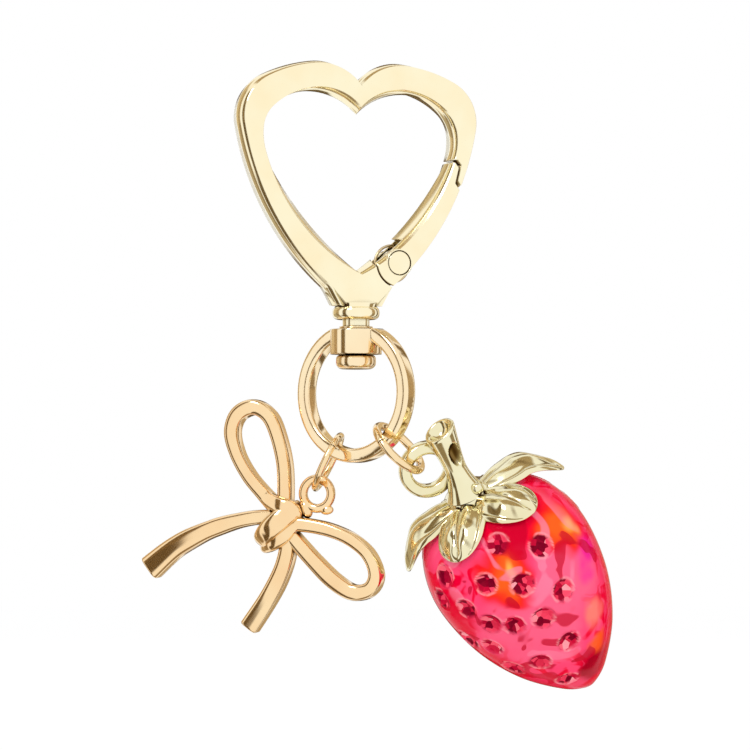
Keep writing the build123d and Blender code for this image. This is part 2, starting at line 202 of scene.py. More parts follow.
def spread(values, share):
    """A value read smoothly out of an even list."""
    place = share * (len(values) - 1)
    low = min(int(place), len(values) - 2)
    ease = place - low
    return values[low] + (values[low + 1] - values[low]) * ease * ease * (3 - 2 * ease)


def softened_ends(stations, size=0.25):
    """Stations whose first and last sections draw in a little, for a rounded cut end."""

    def drawn(station, beside, share):
        middle, across, out, width, depth = station
        way = (middle - beside[0]).normalized()
        slim = 2 * size * (1 - sqrt(1 - share * share)) if share < 1 else 2 * size
        return middle + way * size * (share - 1), across, out, width - slim, depth - slim

    first, last = stations[0], stations[-1]
    start = [drawn(first, stations[1], share) for share in (1, 0.9, 0.7, 0.4, 0)]
    end = [drawn(last, stations[-2], share) for share in (0, 0.4, 0.7, 0.9, 1)]
    return start + stations[1:-1] + end


def spin_profile(bm, profile, steps):
    """A solid of revolution about Z from a chain of points in the XZ plane."""
    verts = [bm.verts.new(point) for point in profile]
    edges = [bm.edges.new(pair) for pair in zip(verts, verts[1:])]
    bmesh.ops.spin(bm, geom=verts + edges, axis=(0, 0, 1), cent=(0, 0, 0), steps=steps, angle=2 * pi,
                   use_merge=True)
    bmesh.ops.remove_doubles(bm, verts=bm.verts, dist=1e-4)


def torus(bm, radius, wire, depth=None, power=2.0, steps=96, segments=24):
    """A closed ring about Z; radius is to its outside."""
    middle = radius - wire / 2
    stations = []
    for n in range(steps + 1):
        out = Vector((cos(2 * pi * n / steps), sin(2 * pi * n / steps), 0))
        stations.append((out * middle, out, UP, wire, depth or wire))
    loft(bm, stations, segments=segments, power=power, closed=True)


def mesh_of(bm, name):
    """The mesh that a finished bmesh leaves behind."""
    mesh = bpy.data.meshes.new(name)
    bm.to_mesh(mesh)
    bm.free()
    return mesh


def in_scene(name, data):
    """A new object that shows this mesh, lamp or camera."""
    thing = bpy.data.objects.new(name, data)
    bpy.context.scene.collection.objects.link(thing)
    return thing


def finished(bm, name, place, material, body, nodes=(), sharp=38):
    """The piece in metres, in its place, riding on its body and standing for its nodes."""
    bmesh.ops.recalc_face_normals(bm, faces=bm.faces)
    bm.transform(Matrix.Scale(MM, 4) @ place)
    for face in bm.faces:
        face.smooth = True
    for edge in bm.edges:
        edge.smooth = len(edge.link_faces) != 2 or edge.calc_face_angle(0) < radians(sharp)
    mesh = mesh_of(bm, name)
    mesh.materials.append(material)
    piece = in_scene(name, mesh)
    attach(piece, body)
    if nodes:
        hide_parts(*nodes)
    return piece


# What is welded, taken as flat and rounded over in a solid's mesh: millimetres and degrees
weld_distance, flat_angle, crease_angle = 0.002, 0.4, 17


def casting(node, name, material, body, edge=0.0, shaping=()):
    """A copy of a node's solid with its edges rounded over, as a polished casting has them."""
    bm = bmesh.new()
    bm.from_mesh(frame["nodes"][node].data)
    bm.transform(Matrix.Scale(1 / MM, 4))
    bmesh.ops.remove_doubles(bm, verts=bm.verts, dist=weld_distance)
    bmesh.ops.dissolve_limit(bm, angle_limit=radians(flat_angle), verts=bm.verts, edges=bm.edges)
    for shape in shaping:
        shape(bm)
    if edge:
        creases = [e for e in bm.edges
                   if len(e.link_faces) == 2 and e.calc_face_angle(0) > radians(crease_angle)]
        bmesh.ops.bevel(bm, geom=creases, affect="EDGES", offset=edge, offset_type="OFFSET", segments=3,
                        profile=0.5, clamp_overlap=True, material=-1)
    bmesh.ops.triangulate(bm, faces=[f for f in bm.faces if len(f.verts) > 4])
    return finished(bm, name, Matrix(), material, body, [node])


def rolled_walls(mesh, half_depth, roll, lowest, pin, pin_reach):
    """Give a flat casting's side walls the look of a rolled edge: their normals lean out to both faces."""
    bm = bmesh.new()
    bm.from_mesh(mesh)
    bm.faces.ensure_lookup_table()
    normals = []
    for polygon in mesh.polygons:
        face = bm.faces[polygon.index]
        middle = face.calc_center_median() / MM
        wall = abs(face.normal.y) < 0.6 and middle.z > lowest and (middle - pin).xz.length > pin_reach
        for loop in face.loops:
            beside = [other for other in loop.vert.link_faces if other.normal.dot(face.normal) > 0.8]
            normal = sum((other.normal * other.calc_area() for other in beside), Vector()).normalized()
            if wall:
                normal = Vector((normal.x, 0, normal.z)).normalized()
                normal.y = roll * between(loop.vert.co.y / MM / half_depth, -1)
            normals.append(normal.normalized())
    bm.free()
    mesh.normals_split_custom_set(normals)


# Shading tools


def node_group(name, inputs, outputs):
    """An empty shader group with these sockets, and the nodes at its two ends."""
    group = bpy.data.node_groups.new(name, "ShaderNodeTree")
    for label, kind, value in inputs:
        socket = group.interface.new_socket(label, in_out="INPUT", socket_type="NodeSocket" + kind)
        if value is not None:
            socket.default_value = value
    for label, kind in outputs:
        group.interface.new_socket(label, in_out="OUTPUT", socket_type="NodeSocket" + kind)
    return group, group.nodes.new("NodeGroupInput"), group.nodes.new("NodeGroupOutput")


def add(tree, kind, settings=None, **values):
    """A node with its properties and its sockets' values set."""
    node = tree.nodes.new("ShaderNode" + kind)
    for name, value in (settings or {}).items():
        setattr(node, name, value)
    for name, value in values.items():
        node.inputs[name.replace("_", " ")].default_value = value
    return node


def step_between(tree, value, low, high):
    """A soft step of a value from nought at low to one at high."""
    step = add(tree, "MapRange", {"interpolation_type": "SMOOTHSTEP"})
    step.inputs["From Min"].default_value, step.inputs["From Max"].default_value = low, high
    tree.links.new(value, step.inputs["Value"])
    return step.outputs["Result"]


def tinted(tree, base, share, tone):
    """The base colour turned by a share towards a tone."""
    mix = add(tree, "Mix", {"data_type": "RGBA"}, B=(*tone, 1))
    tree.links.new(share, mix.inputs["Factor"])
    if isinstance(base, tuple):
        mix.inputs["A"].default_value = (*base, 1)
    else:
        tree.links.new(base, mix.inputs["A"])
    return mix.outputs["Result"]


def times(tree, one, other):
    """The product of two values; the second may be a plain number."""
    product = add(tree, "Math", {"operation": "MULTIPLY"})
    tree.links.new(one, product.inputs[0])
    if isinstance(other, float):
        product.inputs[1].default_value = other
    else:
        tree.links.new(other, product.inputs[1])
    return product.outputs[0]


def named(tree, name, socket="Fac"):
    """What a piece's own attribute gives."""
    return add(tree, "Attribute", {"attribute_name": name}).outputs[socket]


def noisy(tree, place, **values):
    """A noise texture at these places."""
    texture = add(tree, "TexNoise", **values)
    tree.links.new(place, texture.inputs["Vector"])
    return texture.outputs


def blended(tree, share, first, second):
    """Two shaders mixed by a share, which counts for the second."""
    mix = add(tree, "MixShader")
    tree.links.new(share, mix.inputs[0])
    tree.links.new(first.outputs[0], mix.inputs[1])
    tree.links.new(second.outputs[0], mix.inputs[2])
    return mix.outputs[0]


def show(tree, surface):
    """Make this shader the material's surface."""
    tree.links.new(surface, tree.nodes["Material Output"].inputs["Surface"])


def principled(name):
    """A new material, its tree and its Principled shader."""
    material = bpy.data.materials.new(name)
    material.use_nodes = True
    return material, material.node_tree, material.node_tree.nodes["Principled BSDF"]


# Golds


def polish_group():
    """Polished plating: a slight drift of tone and of gloss, and the softest hammering from the mould."""
    group, start, end = node_group(
        "polished_plating",
        [("Tone", "Color", (1, 1, 1, 1)), ("Shade", "Color", (1, 1, 1, 1)), ("Gloss", "Float", 0.07)],
        [("Colour", "Color"), ("Roughness", "Float"), ("Height", "Float")])
    link = group.links.new
    place = add(group, "TexCoord").outputs["Object"]
    clouds = noisy(group, place, Scale=160.0, Detail=3.0, Roughness=0.5)["Fac"]
    grain = noisy(group, place, Scale=700.0, Detail=2.0, Roughness=0.6)["Fac"]
    tone = add(group, "Mix", {"data_type": "RGBA"})
    link(clouds, tone.inputs["Factor"])
    link(start.outputs["Tone"], tone.inputs["A"])
    link(start.outputs["Shade"], tone.inputs["B"])
    link(tone.outputs["Result"], end.inputs["Colour"])
    haze = add(group, "Math", {"operation": "MULTIPLY_ADD"})
    link(grain, haze.inputs[0])
    haze.inputs[1].default_value = 0.06
    link(start.outputs["Gloss"], haze.inputs[2])
    link(haze.outputs[0], end.inputs["Roughness"])
    link(clouds, end.inputs["Height"])
    return group


def rounding_group():
    """The normal of a surface whose edges look rounded over by this radius."""
    group, start, end = node_group("rounded_edges", [("Radius", "Float", 0.2 * MM)], [("Normal", "Vector")])
    soft = add(group, "Bevel", {"samples": 8})
    group.links.new(start.outputs["Radius"], soft.inputs["Radius"])
    group.links.new(soft.outputs["Normal"], end.inputs["Normal"])
    return group


def crease_shade_group():
    """A plating's colour with painted shade: darkened by ambient occlusion where surfaces meet, and along the
    grooves marked on a piece.
    """
    group, start, end = node_group("painted_crease_shade", [("Colour", "Color", None)], [("Colour", "Color")])
    # Painted shade: crevices and gaps between parts are darkened towards dark brown.
    crevice = add(group, "AmbientOcclusion", {"samples": 8}, Distance=1.2 * MM).outputs["AO"]
    close = step_between(group, crevice, 0.66, 0.25)
    colour = tinted(group, start.outputs["Colour"], close, (0.16, 0.09, 0.035))
    # Painted shade along the grooves marked on the leaves and in the stem's recess.
    colour = tinted(group, colour, named(group, "groove"), (0.20, 0.12, 0.035))
    group.links.new(colour, end.inputs["Colour"])
    return group


def gold(name, tone, shade, gloss=0.07, rounding=0.0):
    """A polished gold plating of this tone, whose edges look rounded over by this much."""
    material, tree, shader = principled(name)
    finish = add(tree, "Group", {"node_tree": plating}, Tone=(*tone, 1), Shade=(*shade, 1), Gloss=gloss)
    bump = add(tree, "Bump", Strength=0.04, Distance=0.2 * MM)
    tree.links.new(finish.outputs["Height"], bump.inputs["Height"])
    if rounding:
        soft = add(tree, "Group", {"node_tree": rounded_edges}, Radius=rounding * MM)
        tree.links.new(soft.outputs["Normal"], bump.inputs["Normal"])
    # Painted shade: the plating darkens in crevices and along marked grooves.
    creases = add(tree, "Group", {"node_tree": painted_crease_shade})
    tree.links.new(finish.outputs["Colour"], creases.inputs["Colour"])
    tree.links.new(creases.outputs["Colour"], shader.inputs["Base Color"])
    tree.links.new(finish.outputs["Roughness"], shader.inputs["Roughness"])
    tree.links.new(bump.outputs["Normal"], shader.inputs["Normal"])
    shader.inputs["Metallic"].default_value = 1.0
    return material


plating = polish_group()
rounded_edges = rounding_group()
painted_crease_shade = crease_shade_group()
clasp_gold = gold("clasp_gold", (1.0, 0.98, 0.75), (1.0, 0.82, 0.50), rounding=0.22)
ring_gold = gold("ring_gold", (1.0, 0.88, 0.60), (0.98, 0.72, 0.44), rounding=0.35)
wire_gold = gold("wire_gold", (1.0, 0.82, 0.52), (0.92, 0.66, 0.36))
rose_gold = gold("rose_gold", (1.0, 0.80, 0.49), (0.93, 0.60, 0.31))
cap_gold = gold("cap_gold", (0.95, 0.92, 0.67), (0.82, 0.72, 0.42), gloss=0.06)
spring_wire = gold("spring_wire", (0.80, 0.66, 0.42), (0.55, 0.42, 0.25), gloss=0.16)


# Clasp and swivel

# The heart frame and the gate are cut at these depths, so that the lean of their walls changes smoothly
wall_cuts = (-2.0, -1.75, -1.45, -1.1, -0.6, 0.0, 0.6, 1.1, 1.45, 1.75, 2.0)
wall_roll = 1.05
pin_boss_radius = 2.0
collar_bead_radius, collar_bead_wire, collar_bead_drop = 3.3, 1.9, 0.85
foot_reach, foot_half_depth, neck_radius = 3.0, 3.4, 2.4


def cut_walls(bm):
    """Cut a flat casting across its walls at every depth of the list."""
    for depth in wall_cuts:
        everything = bm.verts[:] + bm.edges[:] + bm.faces[:]
        bmesh.ops.bisect_plane(bm, geom=everything, dist=1e-4, plane_co=(0, depth, 0), plane_no=(0, 1, 0))


def draw_in_foot(bm):
    """Draw the sharp lower rim of the heart frame in under its collar bead."""
    for vert in bm.verts:
        reach = vert.co.xy.length
        if vert.co.z < collar_top + 0.01 and reach > foot_reach and abs(vert.co.y) < foot_half_depth:
            vert.co.xy *= neck_radius / reach


def make_heart():
    """The heart frame and its gate, two flat castings with rolled walls, and the gate pin's heads."""
    pin = hinge("gate_hinge")[0]
    for node, name, body, shaping in (("heart_frame", "heart", "clasp", (cut_walls, draw_in_foot)),
                                      ("gate_lever", "gate", "gate", (cut_walls,))):
        piece = casting(node, name, clasp_gold, body, shaping=shaping)
        rolled_walls(piece.data, heart_depth / 2, wall_roll, collar_top + 0.06, pin, pin_boss_radius)
    casting("gate_pin", "pin_heads", clasp_gold, "clasp", edge=0.12)


def make_swivel():
    """The washer, the rivet, the ring casting and the bead round the collar."""
    casting("swivel_washer", "washer", ring_gold, "clasp", edge=0.06)
    casting("swivel_rivet", "rivet", ring_gold, "clasp", edge=0.55)
    casting("swivel_ring", "ring_casting", ring_gold, "swivel")
    bm = bmesh.new()
    torus(bm, collar_bead_radius, collar_bead_wire, power=2.5)
    place = Matrix.Translation((0, 0, collar_top - collar_bead_drop))
    finished(bm, "collar_bead", place, clasp_gold, "clasp")


def dress_steel():
    """The gate's spring and the cap's peg keep their solids and take the plain wire finish."""
    for name in ("gate_spring", "cap_peg"):
        materials = frame["nodes"][name].data.materials
        materials.clear()
        materials.append(spring_wire)


# Jump rings and eyelets


def make_jump_ring(name, node, joint, body, size):
    """A jump ring of round wire, with the fine seam where its ends meet near the top."""
    radius, wire = size
    seam, seam_gap = radians(52), radians(1.4)
    steps = 120
    stations = []
    for n in range(steps + 1):
        turn = seam + seam_gap / 2 + (2 * pi - seam_gap) * n / steps
        out = Vector((cos(turn), sin(turn), 0))
        stations.append((out * (radius - wire / 2), out, UP, wire, wire))
    bm = bmesh.new()
    loft(bm, softened_ends(stations, 0.06), segments=28, power=2.0)
    finished(bm, name, ring_frame(node, joint), wire_gold, body, [node])


def make_bow_eyelet():
    """The bow's eyelet, with a bead of solder on each side where it meets the bow."""
    bm = bmesh.new()
    radius, wire = bow_eye_size
    torus(bm, radius, wire, power=2.3)
    for angle, size in ((-58, 0.85), (-128, 1.15)):
        bead = bmesh.ops.create_uvsphere(bm, u_segments=24, v_segments=16, radius=size)["verts"]
        bmesh.ops.scale(bm, vec=(1.2, 0.8, 0.7), verts=bead)
        bmesh.ops.rotate(bm, matrix=Matrix.Rotation(radians(angle + 60), 3, "Z"), verts=bead)
        way = Vector((cos(radians(angle)), sin(radians(angle)), 0))
        bmesh.ops.translate(bm, vec=way * radius, verts=bead)
    place = bow_frame() @ Matrix.Translation((*bow_eye_place, 0))
    finished(bm, "bow_eye", place, rose_gold, "bow", ["bow_eyelet"])


# Bow, in its own frame: X right, Y up, Z out of the front

upper_loop = [(0.5, 1.2), (0.65, 4.8), (0.45, 8.6), (-0.5, 12.4), (-1.8, 15.1), (-4.0, 16.4), (-6.4, 15.5),
              (-7.4, 13.0), (-6.6, 9.8), (-4.8, 6.7), (-2.6, 4.2), (-0.8, 2.4)]
side_loop = [(1.0, 0.0), (4.4, -0.3), (7.6, -1.0), (10.6, -2.3), (13.1, -4.4), (14.2, -7.2), (13.2, -9.2),
             (10.7, -9.6), (7.9, -8.0), (5.2, -5.5), (3.0, -3.2), (1.2, -1.2)]
long_tail = [(-1.0, 1.0, 0), (-4.4, 0.8, 0), (-8.2, 0.0, 0), (-12.2, -1.4, 0.1), (-16.2, -3.4, -0.1),
             (-20.2, -6.3, -0.7)]
short_tail = [(1.2, -1.6, 0), (0.8, -4.6, 0), (-0.2, -7.4, 0), (-2.0, -10.6, 0), (-5.0, -14.6, -0.5)]
fold_over = [(-3.2, 4.9, 0.2), (-1.6, 3.4, 0.9), (0.2, 2.6, 1.5), (1.5, 2.1, 1.5), (2.1, 1.5, 1.0),
             (2.2, 0.8, 0.0)]
knot_front = [(2.5, 2.1, -0.6), (1.9, 1.7, 1.0), (0.5, 0.6, 1.9), (-1.2, -0.9, 1.9), (-2.5, -2.1, 1.0),
              (-2.9, -2.6, -0.6)]
knot_under = [(2.7, 0.3, -0.4), (2.0, -0.4, 0.9), (0.7, -1.7, 1.4), (-0.9, -2.7, 1.2), (-2.2, -3.1, 0.3),
              (-2.6, -3.0, -0.8)]


def band(bm, points, widths, depths, ends=False, power=4.5):
    """A flat band through these points that faces the front, with soft cut ends where they show."""
    path = smooth_path([(*p, 0)[:3] for p in points], 9)
    stations = flat_stations(path, UP, widths, depths)
    loft(bm, softened_ends(stations) if ends else stations, segments=36, power=power)


def make_bow():
    """The bow casting: two ribbon loops, two tails and the folded knot."""
    bm = bmesh.new()
    loop_depths, tail_depths = (bow_depth, bow_depth), (bow_depth, bow_depth, bow_depth - 0.2)
    band(bm, upper_loop, (2.0, 2.0, 2.0, 2.1, 2.3, 2.1, 1.9, 2.0, 2.3), loop_depths)
    band(bm, side_loop, (2.1, 2.0, 1.9, 1.8, 2.0, 2.3, 2.4, 2.2, 2.0), loop_depths)
    band(bm, long_tail, (2.0, 2.1, 2.5, 3.0, 3.6), tail_depths, ends=True)
    band(bm, short_tail, (2.1, 2.3, 2.5, 2.7), tail_depths, ends=True)
    core = bmesh.ops.create_uvsphere(bm, u_segments=48, v_segments=32, radius=1.0)["verts"]
    bmesh.ops.scale(bm, vec=(3.3, 2.3, 1.9), verts=core)
    bmesh.ops.rotate(bm, matrix=Matrix.Rotation(radians(40), 3, "Z"), verts=core)
    band(bm, fold_over, (1.8, 2.3, 2.7, 2.2), (1.4, 1.8, 1.6), power=3.0)
    band(bm, knot_front, (2.6, 3.1, 2.6), (1.5, 1.9, 1.5), power=2.8)
    band(bm, knot_under, (1.9, 2.3, 1.9), (1.5, 1.7, 1.4), power=2.8)
    finished(bm, "bow", bow_frame(), rose_gold, "bow", ["bow_ribbon"])


# Strawberry, in its own frame: Z up the stem, X out of the front, heights from the stem's foot


def berry_profile():
    """The berry's half outline from its top to its tip."""
    radius, top, tip = berry_radius, berry_top, berry_tip
    points = [(0, -top), (0.40 * radius, -top - 0.35), (0.74 * radius, -top - 2.3),
              (0.93 * radius, -top - 6.2), (radius, -0.38 * tip), (0.91 * radius, -0.585 * tip),
              (0.68 * radius, -0.77 * tip), (0.35 * radius, -0.92 * tip), (0.12 * radius, -0.985 * tip),
              (0, -tip)]
    return smooth_path([(r, 0, z) for r, z in points], 20)


def skin(drop):
    """The berry's radius at this height below the stem's foot."""
    outline = berry_profile()
    for here, there in zip(outline, outline[1:]):
        if -here.z <= drop <= -there.z and here.z != there.z:
            return here.x + (there.x - here.x) * (drop + here.z) / (here.z - there.z)
    return 0.0


# A front pit is its height below the stem's foot and its turn; a back row is its height, first turn and count
front_seeds = [(5.1, -3), (6.6, -57), (8.6, 23), (8.9, -25), (10.0, -69), (11.3, -3), (11.5, -48),
               (14.7, -37), (15.7, 18), (16.3, -23), (17.4, -3.5), (17.5, -69), (18.9, -50), (23.3, 3),
               (24.0, -53), (24.2, -26), (30.1, -22)]
back_rows = [(6.2, 110, 5), (10.8, 98, 6), (15.6, 112, 6), (20.4, 100, 6), (25.2, 116, 5), (30.0, 104, 3)]
back_end = 275
seed_radius, seed_depth, seed_lip = 1.62, 0.62, 0.10
seed_reach = 1.35


def seed_places():
    """The middle of every seed pit on the skin."""
    seeds = list(front_seeds)
    for drop, first, count in back_rows:
        seeds += [(drop, first + (back_end - first) * n / count) for n in range(count)]
    places = []
    for drop, turn in seeds:
        reach = skin(drop)
        places.append(Vector((reach * cos(radians(turn)), reach * sin(radians(turn)), -drop)))
    return places


def seed_finder():
    """A search tree of the seed pits, by their middles."""
    seeds = seed_places()
    finder = kdtree.KDTree(len(seeds))
    for number, seed in enumerate(seeds):
        finder.insert(seed, number)
    finder.balance()
    return finder


def make_berry():
    """The resin berry: a smooth skin with a faceted, rimmed pit for every seed."""
    bm = bmesh.new()
    spin_profile(bm, berry_profile(), 300)
    bmesh.ops.recalc_face_normals(bm, faces=bm.faces)
    bm.normal_update()
    pit = bm.verts.layers.float.new("pit")
    rim = bm.verts.layers.float.new("rim")
    place = bm.verts.layers.float_vector.new("place")
    finder = seed_finder()
    moves = []
    for vert in bm.verts:
        vert[place] = vert.co.copy()
        _, number, away = finder.find(vert.co)
        share = away / (seed_radius * (0.94 + 0.05 * (number % 3)))
        if share > seed_reach:
            continue
        depth = seed_depth * max(0.0, 1 - share * share)
        facet = noise.voronoi(vert.co * 1.5 + Vector((number, 0, 0)))[0][0]
        depth *= 1 + 0.5 * (facet - 0.3) if share < 0.95 else 1
        lip = seed_lip * max(0.0, 1 - abs(share - 1.08) / 0.22)
        vert[pit] = between((1.02 - share) / 0.12)
        vert[rim] = max(0.0, 1 - abs(share - 1.05) / 0.13)
        moves.append((vert, vert.normal * (lip - depth)))
    for vert, move in moves:
        vert.co += move
    finished(bm, "berry", berry_frame(), make_resin(), "berry", ["berry_body"], sharp=180)


# Resin


def patch_group():
    """A soft patch of another colour round one place on the berry."""
    group, start, end = node_group(
        "colour_patch",
        [("Place", "Vector", None), ("Centre", "Vector", None), ("Radius", "Float", 5.0),
         ("Edge", "Float", 2.0), ("Base", "Color", None), ("Patch", "Color", None)],
        [("Colour", "Color")])
    link = group.links.new
    away = add(group, "VectorMath", {"operation": "DISTANCE"})
    link(start.outputs["Place"], away.inputs[0])
    link(start.outputs["Centre"], away.inputs[1])
    low = add(group, "Math", {"operation": "SUBTRACT"})
    link(start.outputs["Radius"], low.inputs[0])
    link(start.outputs["Edge"], low.inputs[1])
    share = add(group, "MapRange", {"interpolation_type": "SMOOTHSTEP"})
    link(away.outputs["Value"], share.inputs["Value"])
    link(start.outputs["Radius"], share.inputs["From Min"])
    link(low.outputs[0], share.inputs["From Max"])
    blend = add(group, "Mix", {"data_type": "RGBA"})
    link(share.outputs["Result"], blend.inputs["Factor"])
    link(start.outputs["Base"], blend.inputs["A"])
    link(start.outputs["Patch"], blend.inputs["B"])
    link(blend.outputs["Result"], end.inputs["Colour"])
    return group


PINK, HOT, RED = (1.0, 0.12, 0.235), (0.80, 0.0, 0.028), (0.95, 0.012, 0.012)
ORANGE, YELLOW, CORAL = (1.0, 0.11, 0.012), (1.0, 0.42, 0.08), (1.0, 0.20, 0.16)
MAGENTA, DEEP = (0.88, 0.01, 0.28), (0.30, 0.0, 0.01)
patches = patch_group()

# Each patch of colour: its centre in the berry's frame, its radius, the width of its soft edge and its tone
colour_patches = [
    ((9, -2, -18), 9.5, 6.0, PINK),
    ((10, 6, -15), 7.0, 4.0, PINK),
    ((11, 0, -24), 5.0, 3.5, PINK),
    ((3, -10, -12), 6.5, 3.0, HOT),
    ((4, -8, -22), 4.5, 2.5, HOT),
    ((8, 3, -3.5), 7.0, 3.0, HOT),
    ((6, 8, -3.5), 5.5, 2.5, HOT),
    ((8, 9, -8.5), 5.6, 2.0, RED),
    ((8, 9, -8.5), 4.4, 2.6, ORANGE),
    ((7.0, 9.9, -9.5), 2.2, 2.0, YELLOW),
    ((11, -2, -9), 5.2, 2.0, RED),
    ((11, -2, -9), 4.0, 2.6, ORANGE),
    ((11.4, -1.5, -8.6), 1.6, 1.4, YELLOW),
    ((7.5, 9, -14.5), 4.0, 2.8, MAGENTA),
    ((7, 3, -30.5), 4.8, 2.4, DEEP),
    ((7, 4.5, -27), 2.4, 1.8, ORANGE),
    ((8, 5.5, -22), 3.0, 2.0, CORAL),
]
# Facet tones inside the pits, from dark red to light pink; the lightest stop gives painted glints.
pit_glass_and_glints = [(0.30, (0.20, 0.0, 0.015)), (0.55, (0.62, 0.004, 0.04)), (0.78, (1.0, 0.07, 0.14)),
             (0.90, (1.0, 0.38, 0.42))]


def patchwork(tree, place):
    """Streaked pink resin with its patches of other colours, whose outlines wander."""
    link = tree.links.new
    wander = 7.0
    shift = add(tree, "VectorMath", {"operation": "MULTIPLY_ADD"})
    link(noisy(tree, place, Scale=0.16, Detail=2.0, Roughness=0.5)["Color"], shift.inputs[0])
    shift.inputs[1].default_value = (wander, wander, wander)
    link(place, shift.inputs[2])
    centred = add(tree, "VectorMath", {"operation": "SUBTRACT"})
    link(shift.outputs[0], centred.inputs[0])
    centred.inputs[1].default_value = (wander / 2, wander / 2, wander / 2)
    streaks = noisy(tree, centred.outputs[0], Scale=0.22, Detail=2.0, Roughness=0.5, Distortion=1.2)["Fac"]
    colour = tinted(tree, (1.0, 0.06, 0.17), step_between(tree, streaks, 0.50, 0.58), (0.86, 0.0, 0.035))
    for centre, radius, edge, tone in colour_patches:
        patch = add(tree, "Group", {"node_tree": patches}, Centre=centre, Radius=radius, Edge=edge,
                    Patch=(*tone, 1))
        link(centred.outputs[0], patch.inputs["Place"])
        link(colour, patch.inputs["Base"])
        colour = patch.outputs["Colour"]
    return colour


def resin_shards_and_painted_light(tree, place, colour):
    """Dark shards all over, painted highlights in light shards where the skin faces the camera, and painted
    shade: darker red towards the outline, with a dark outline at the silhouette.
    """
    shards = noisy(tree, place, Scale=0.17, Detail=1.0, Roughness=0.35, Distortion=1.0)["Fac"]
    dark = times(tree, step_between(tree, shards, 0.59, 0.62), 0.8)
    colour = tinted(tree, colour, dark, (0.56, 0.0, 0.02))
    # Painted highlight where the skin faces the camera, and painted shade towards the outline.
    facing = add(tree, "LayerWeight", Blend=0.5).outputs["Facing"]
    facing_camera = times(tree, step_between(tree, facing, 0.6, 0.25), 0.6)
    facing_highlight = times(tree, step_between(tree, shards, 0.40, 0.34), facing_camera)
    colour = tinted(tree, colour, facing_highlight, (1.0, 0.24, 0.37))
    edge_shade = times(tree, step_between(tree, facing, 0.40, 0.92), 0.85)
    colour = tinted(tree, colour, edge_shade, (0.74, 0.0, 0.03))
    # Painted shade: a dark red outline along the silhouette.
    outline = times(tree, step_between(tree, facing, 0.82, 1.0), 0.8)
    return tinted(tree, colour, outline, (0.30, 0.0, 0.015))


def crackled_pits(tree, place, colour, crackle, pits):
    """The splintered glassy look inside the pits, whose lightest facets are painted glints, and their rims:
    broken into arcs of painted highlight and of painted shade.
    """
    link = tree.links.new
    glass = add(tree, "ValToRGB")
    ramp = glass.color_ramp.elements
    for number, (position, tone) in enumerate(pit_glass_and_glints):
        stop = ramp[number] if number < len(ramp) else ramp.new(position)
        stop.position, stop.color = position, (*tone, 1)
    link(crackle.outputs["Color"], glass.inputs["Fac"])
    inside = add(tree, "Mix", {"data_type": "RGBA"})
    link(pits, inside.inputs["Factor"])
    link(colour, inside.inputs["A"])
    link(glass.outputs["Color"], inside.inputs["B"])
    rims = named(tree, "rim")
    broken = noisy(tree, place, Scale=0.42, Detail=1.0)["Fac"]
    # Painted highlights on the light arcs of the rims.
    rim_highlight = times(tree, times(tree, rims, step_between(tree, broken, 0.46, 0.54)), 0.8)
    colour = tinted(tree, inside.outputs["Result"], rim_highlight, (1.0, 0.36, 0.40))
    # Painted shade on the dark arcs of the rims.
    shade = times(tree, times(tree, rims, step_between(tree, broken, 0.50, 0.42)), 0.55)
    return tinted(tree, colour, shade, (0.45, 0.0, 0.02))


def make_resin():
    """Glossy resin, made to look translucent by a faint painted glow in its own colour: pink with warm and
    dark red patches, crackled dark pits, and painted highlight and shade on their rims.
    """
    material, tree, shader = principled("berry_resin")
    link = tree.links.new
    place = named(tree, "place", "Vector")
    pits = named(tree, "pit")
    crackle = add(tree, "TexVoronoi", Scale=1.15)
    link(place, crackle.inputs["Vector"])
    colour = resin_shards_and_painted_light(tree, place, patchwork(tree, place))
    colour = crackled_pits(tree, place, colour, crackle, pits)
    link(colour, shader.inputs["Base Color"])
    # The colour also feeds a faint glow: painted light, for light passing through the resin.
    link(colour, shader.inputs["Emission Color"])
    ripple = add(tree, "Bump", Distance=0.3 * MM)
    link(times(tree, pits, 0.5), ripple.inputs["Strength"])
    link(crackle.outputs["Distance"], ripple.inputs["Height"])
    link(ripple.outputs["Normal"], shader.inputs["Normal"])
    for name, value in (("Emission Strength", 0.16), ("Roughness", 0.08), ("IOR", 1.2),
                        ("Specular IOR Level", 0.15)):
        shader.inputs[name].default_value = value
    return material


# Leaves

# Each leaf: its angle round the stem, its length, its width and how far it lifts off the berry, in degrees
leaves = {
    "leaf_front_left": (-36, 10.6, 7.8, 0),
    "leaf_front_right": (36, 10.6, 8.0, 0),
    "leaf_right": (108, 15.9, 8.4, 14),
    "leaf_back": (180, 14.2, 7.8, 0),
    "leaf_left": (252, 15.0, 8.2, 10),
}
leaf_depth = 1.2
leaf_belly = 0.45
leaf_veins = 3.2
leaf_root = Vector((2.4, 0, 0.6 - berry_top))


def leaf_width(share):
    """A leaf's width along its length, as a share of its widest."""
    if share < leaf_belly:
        return 0.42 + 0.58 * sin(pi / 2 * max(0.0, share) / leaf_belly)
    return max(0.10, (1 - ((min(share, 1.0) - leaf_belly) / (1 - leaf_belly)) ** 2.6) ** 0.50)


def leaf_relief(share, side):
    """The relief of a leaf's face: a raised rim round two pillowed halves, a groove and faint veins."""
    inner = min(1.0, abs(side) / 0.80)
    inside = between((0.88 - abs(side)) / 0.10) * between((0.97 - share) / 0.10)
    pillow = sin(pi * inner ** 0.8)
    vein = 0.5 + 0.5 * cos(2 * pi * (share * leaf_veins - inner * 0.8))
    return inside * (-0.34 + 0.40 * pillow - 0.13 * vein * pillow)


